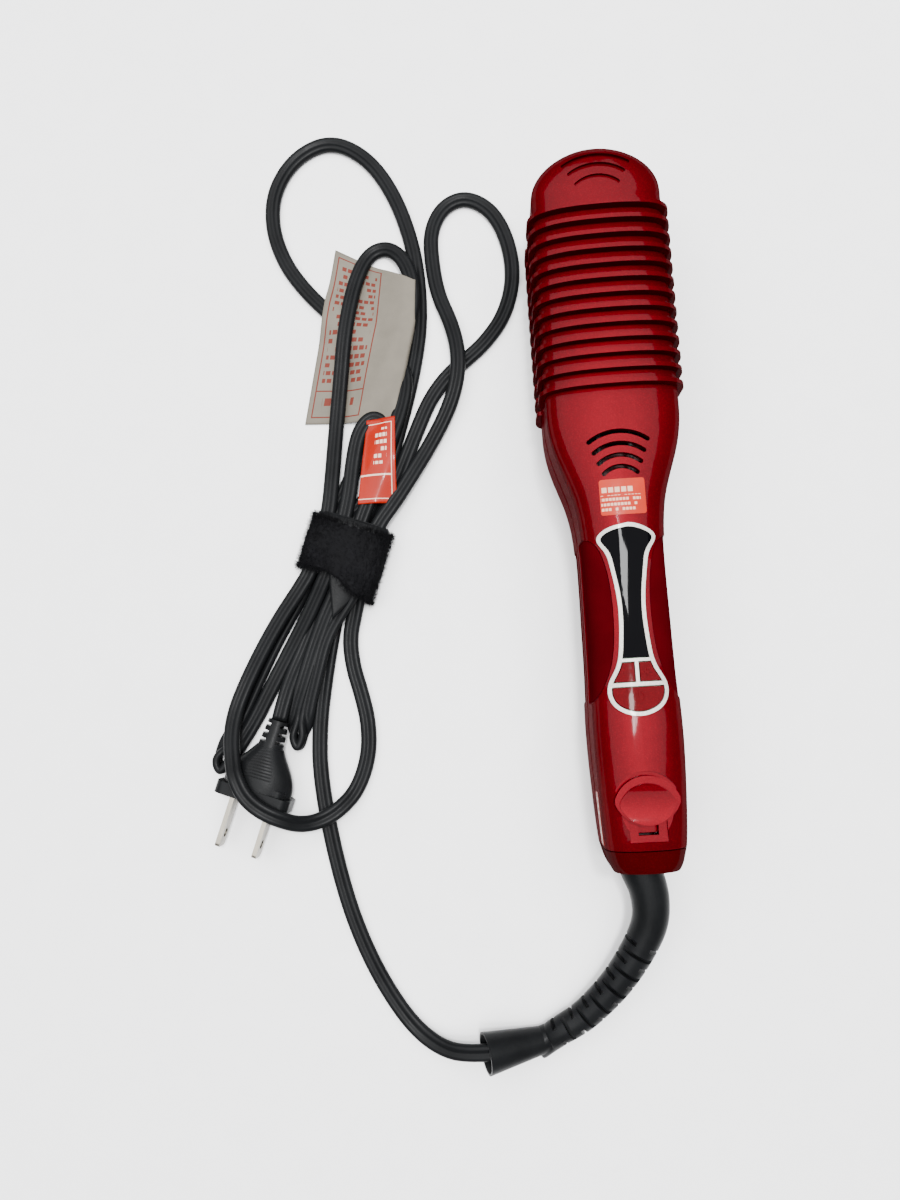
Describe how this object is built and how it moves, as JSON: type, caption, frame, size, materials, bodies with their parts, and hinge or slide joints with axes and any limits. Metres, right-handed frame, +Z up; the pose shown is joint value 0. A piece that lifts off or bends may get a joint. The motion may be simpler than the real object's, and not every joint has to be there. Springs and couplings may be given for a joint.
{
  "type": "hair straightening iron",
  "caption": "Closed flat hair-straightening iron with finned arms, key-shaped control island, slide lock, swivelling bend protector, and a flat cord folded in a strap with tags and plug.",
  "frame": {"origin": "under the middle of the iron, on the surface that it lies on", "axes": "+Y from the hinge end to the nose, +Z up, +X to the right seen from above"},
  "size_m": [0.1578, 0.3231, 0.0464],
  "materials": {
    "red_gloss": "glossy metallic",
    "cap_red": "satin",
    "grip_red": "matte",
    "button_red": "glossy",
    "pearl": "pearl",
    "black_lens": "glossy",
    "heat_black": "matte",
    "lid_red": "satin",
    "plate": "coated satin",
    "heater": "matte",
    "steel": "brushed",
    "board": "satin",
    "part_black": "satin",
    "module": "clear",
    "wire": "satin",
    "nylon": "satin",
    "cord_black": "satin",
    "strap": "fuzzy",
    "nickel": "polished",
    "paper": "matte",
    "orange": "satin"
  },
  "bodies": {
    "lower_arm": {"lower_cover": "red_gloss", "lower_lid": "lid_red", "lower_plate_carrier": "heat_black", "lower_heating_plate": "plate", "lower_heater": "heater", "lower_heat_shield": "steel", "lower_grip_right": "grip_red", "lower_grip_left": "grip_red", "lower_screws": "steel", "latch_catch": "nylon", "hinge_pin": "steel", "opening_spring": "steel", "lower_end_cap": "cap_red", "swivel_bush": "nylon", "cord_clamp": "nylon", "supply_wires": "wire", "strain_relief": "cord_black", "cord_tube": "cord_black", "cable_tie": "strap", "cord_bundle": "cord_black", "plug_body": "cord_black", "plug_blades": "nickel", "paper_tag": "paper", "orange_tag": "orange"},
    "upper_arm": {"upper_cover": "red_gloss", "upper_lid": "lid_red", "upper_plate_carrier": "heat_black", "upper_heating_plate": "plate", "upper_heater": "heater", "upper_heat_shield": "steel", "upper_grip_right": "grip_red", "upper_grip_left": "grip_red", "upper_screws": "steel", "thermal_fuse": "nickel", "thermistor": "module", "control_bezel": "pearl", "display_window": "black_lens", "control_board": "board", "tact_switches": "part_black", "display_module": "module", "heater_wires": "wire", "detent_spring": "steel", "upper_end_cap": "cap_red", "caution_label": "orange", "side_label": "orange"},
    "lock": {"lock_slide": "red_gloss"},
    "power": {"power_button": "button_red"},
    "plus": {"plus_button": "button_red"},
    "minus": {"minus_button": "button_red"}
  },
  "joints": [
    {"name": "arm_hinge", "type": "hinge", "parent": "lower_arm", "child": "upper_arm", "pos_m": [0, -0.102, 0.023], "axis": [1, 0, 0], "range_deg": [0, 18]},
    {"name": "lock_travel", "type": "slide", "parent": "upper_arm", "child": "lock", "axis": [0, -1, 0], "range_m": [0, 0.0046]},
    {"name": "power_press", "type": "slide", "parent": "upper_arm", "child": "power", "axis": [0, 0, -1], "range_m": [0, 0.0006], "stiffness_N_per_m": 1500},
    {"name": "plus_press", "type": "slide", "parent": "upper_arm", "child": "plus", "axis": [0, 0, -1], "range_m": [0, 0.0006], "stiffness_N_per_m": 1500},
    {"name": "minus_press", "type": "slide", "parent": "upper_arm", "child": "minus", "axis": [0, 0, -1], "range_m": [0, 0.0006], "stiffness_N_per_m": 1500}
  ]
}
